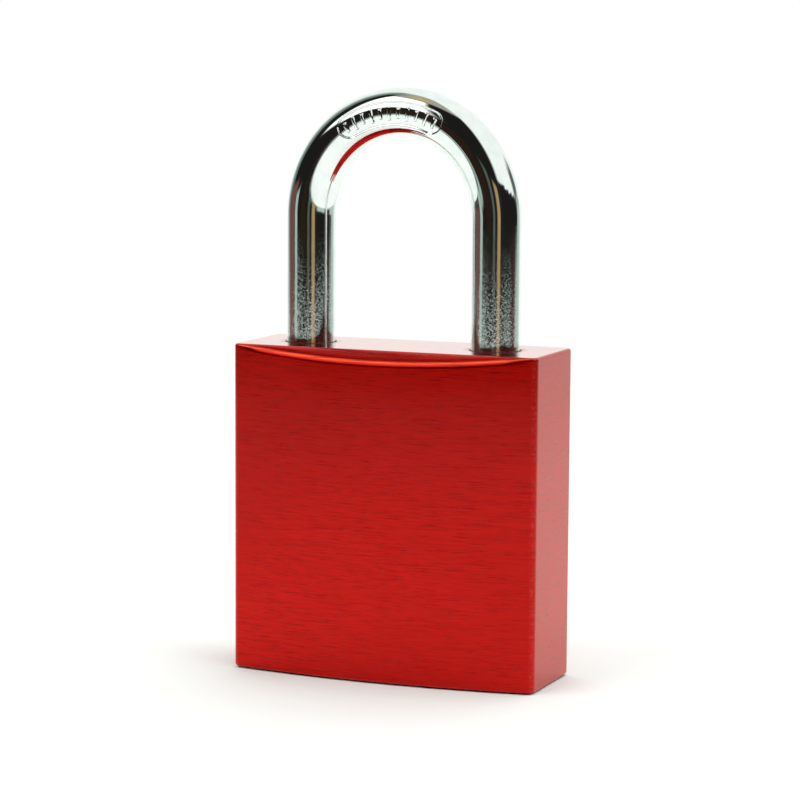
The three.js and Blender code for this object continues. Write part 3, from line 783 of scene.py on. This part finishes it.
def pins():
    """Five stacks: a key pin, a driver pin and a spring, laid along X."""
    for i, z in enumerate(pin_heights):
        number = i + 1
        low, high = key_pins[i]
        length = high.x - low.x
        profile = rounded([(0.01, 0), (0.4, 0), (pin_radius, 0.9), (pin_radius, length - 0.25),
                           (pin_radius - 0.25, length), (0.01, length)], 0.16, 4, closed=False)
        piece = turned(f"key_pin_{number}_turned", profile, 48, Matrix.Translation((low.x, 0, z)) @ along_x)
        add_piece(smooth(piece, 50), f"key_pin_{number}", f"key_pin_{number}", BRASS)

        low, high = driver_pins[i]
        length = high.x - low.x
        waist = pin_radius - 0.18
        profile = rounded([(0.01, 0), (pin_radius - 0.25, 0), (pin_radius, 0.25), (pin_radius, 0.95),
                           (waist, 1.15), (waist, 1.85), (pin_radius, 2.05), (pin_radius, length - 0.25),
                           (pin_radius - 0.25, length), (0.01, length)], 0.12, 3, closed=False)
        place = Matrix.Translation((low.x, 0, z)) @ along_x
        piece = turned(f"driver_pin_{number}_turned", profile, 48, place)
        add_piece(smooth(piece, 50), f"driver_pin_{number}", f"driver_pin_{number}", NICKEL)

        low, high = pin_springs[i]
        length = high.x - low.x
        piece = coil(f"pin_spring_{number}_coil", high.y, 0.3, length, 5,
                     Matrix.Translation((low.x, 0, z)) @ along_x)
        add_piece(piece, f"pin_spring_{number}", None, SPRING)
        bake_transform(piece)


def spring_cover():
    outline = rounded([(cover_low.x, cover_low.y), (cover_high.x, cover_low.y),
                       (cover_high.x, cover_high.y), (cover_low.x, cover_high.y)], 0.12, 3)
    piece = raised("spring_cover_pressed", outline, cover_low.z, cover_high.z, 0.1)
    add_piece(smooth(piece), "spring_cover", "lock_body", BRASS)


def cylinder_screw():
    head_low = toe_hole_floor + PLAY
    head_radius = screw_high.y
    profile = rounded([(0.01, screw_low.z), (SCREW_RADIUS, screw_low.z), (SCREW_RADIUS, head_low),
                       (head_radius, head_low), (head_radius, screw_high.z), (0.01, screw_high.z)],
                      0.2, 4, closed=False)
    piece = turned("cylinder_screw_turned", profile, 64, Matrix.Translation((leg_x, 0, 0)))
    slot = box_shape("slot", leg_x - 3, leg_x + 3, -0.4, 0.4, screw_high.z - 0.8, screw_high.z + OVERCUT)
    cut(piece, slot)
    add_piece(smooth(piece), "cylinder_screw", "lock_body", STEEL)


block()
shackle()
shackle_spring()
balls()
cylinder_shell()
plug()
plug_clip()
cam()
pins()
spring_cover()
cylinder_screw()


# ---------------------------------------------------------------- studio

FLOOR_RADIUS = 290.0
FLOOR_DROP = 0.15


def floor():
    """A round pale table top. Past its rim the shackle mirrors the room."""
    made, g = material("pale_floor", (0.95, 0.95, 0.95, 1))
    g.surface(Base_Color=(0.94, 0.96, 0.945, 1), Roughness=0.9, Specular_IOR_Level=0.1)
    top = [(x, y, 0.0) for x, y in circle(FLOOR_RADIUS, 160)]
    plane = shape("floor", top, [tuple(range(len(top)))], Matrix.Translation((0, 0, -FLOOR_DROP)))
    plane.data.materials.append(made)


# What stands round the object, by direction: degrees of azimuth from straight ahead of the broad face
# towards the toe side, degrees above the horizon, softness of the edges both ways, and radiance.
BLACK = (0.013, 0.012, 0.011)
PALE = (0.44, 0.56, 0.49)
CARDS = (
    # name, azimuths, elevations, softness, radiance
    ("dim ceiling", (-112, 48), (62, 95), (14, 6), (0.42, 0.40, 0.34)),
    ("ochre ceiling", (-60, -8), (70, 80), (6, 4), (0.62, 0.44, 0.16)),
    ("grey left", (-116, -70), (-7, 72), (14, 4), (0.20, 0.25, 0.22)),
    ("low right", (44, 152), (-12, 6), (8, 1.5), (0.50, 0.62, 0.57)),
    ("front", (-94, 50), (-11, 66), (6, 3), BLACK),
    ("low left", (-88, -42), (-19, -9), (5, 2), (0.030, 0.035, 0.035)),
    ("right 1", (44, 76), (-7.2, 18.5), (5, 0.8), BLACK),
    ("right 2", (62, 92), (-6.4, 16.0), (5, 0.8), BLACK),
    ("right 3", (78, 108), (-5.6, 13.5), (5, 0.8), BLACK),
    ("right 4", (94, 120), (-4.9, 11.0), (5, 0.8), BLACK),
    ("right 5", (106, 131), (-4.4, 9.0), (5, 0.8), BLACK),
    ("behind right", (122, 148), (6, 24), (6, 5), (0.12, 0.13, 0.13)),
    ("soft light", (-66, -12), (24, 64), (5, 3), (1.9, 1.9, 1.85)),
    ("brown left", (-98, -62), (-8, 6), (4, 1.5), (0.17, 0.080, 0.072)),
    ("pale line left", (-60, -47), (-20, 2), (2, 1), PALE),
    ("pale wedge", (-46, -33), (-9, -6.0), (3, 0.3), PALE),
    ("low pale wedge", (-32, -18), (-9, -6.8), (3, 0.2), PALE),
    ("dark brown", (-26, -4), (-5.6, 14), (5, 2), (0.026, 0.014, 0.008)),
    ("grey line", (5, 14), (-11, 14), (3, 2), (0.095, 0.12, 0.10)),
    ("tan", (25, 39), (-11, 13), (3, 2), (0.45, 0.30, 0.145)),
    ("maroon right", (90, 118), (-9, -4.6), (4, 0.4), (0.10, 0.035, 0.035)),
)
ROOM = (1.05, 1.08, 1.06)
BACKDROP = (1.0, 1.0, 1.0)


def world():
    """A white room with dark and bright cards. The camera itself sees a plain white backdrop."""
    made = bpy.data.worlds.new("studio")
    made.use_nodes = True
    g = Graph(made.node_tree)
    direction = g.add("TexCoord", out=0)
    x, y, z = (g.part(direction, axis) for axis in (0, 1, 2))
    azimuth = g.math("MULTIPLY", g.math("ARCTAN2", x, g.math("MULTIPLY", y, -1.0)), math.degrees(1))
    elevation = g.math("MULTIPLY", g.math("ARCSINE", z), math.degrees(1))
    light = ROOM + (1,)
    for name, sides, heights, soft, radiance in CARDS:
        mask = 1.0
        for angle, (low, high), ease in ((azimuth, sides, soft[0]), (elevation, heights, soft[1])):
            mask = g.math("MULTIPLY", g.range(angle, low - ease, low + ease), mask)
            mask = g.math("MULTIPLY", g.range(angle, high + ease, high - ease), mask)
        light = g.mix(mask, light, radiance + (1,), name)
    seen = g.add("LightPath", out=0)
    colour = g.mix(seen, light, BACKDROP + (1,))
    background = g.add("Background", {"Color": colour, "Strength": 1.0})
    g.add("OutputWorld", {"Surface": background})
    bpy.context.scene.world = made


def area_light(name, place, aim, size, power):
    data = bpy.data.lights.new(name, "AREA")
    data.size = size
    data.energy = power
    light = bpy.data.objects.new(name, data)
    light.location = place
    light.rotation_euler = (Vector(aim) - Vector(place)).to_track_quat("-Z", "Y").to_euler()
    bpy.context.scene.collection.objects.link(light)
    return light


def camera():
    """The camera's place and angles, with the object's centre a little above the middle of the view."""
    at = Vector((130.8, -317.9, 75.4)) * MM
    turn = math.radians(22.40)
    down = math.radians(7.14)
    roll = math.radians(0.36)
    data = bpy.data.cameras.new("camera")
    data.sensor_width = 36
    data.lens = 132.4
    data.clip_start = 0.01
    made = bpy.data.objects.new("camera", data)
    made.matrix_world = (Matrix.Translation(at) @ Matrix.Rotation(turn, 4, "Z")
                         @ Matrix.Rotation(math.pi / 2 - down, 4, "X") @ Matrix.Rotation(roll, 4, "Z"))
    bpy.context.scene.collection.objects.link(made)
    bpy.context.scene.camera = made


floor()
world()
camera()
overhead = area_light("overhead", (0.05, -0.05, 0.75), (0, 0, 0.03), 0.6, 3.0)
overhead.visible_glossy = False       # it lights the floor and casts the soft shadow
bpy.context.scene.view_settings.view_transform = "Standard"
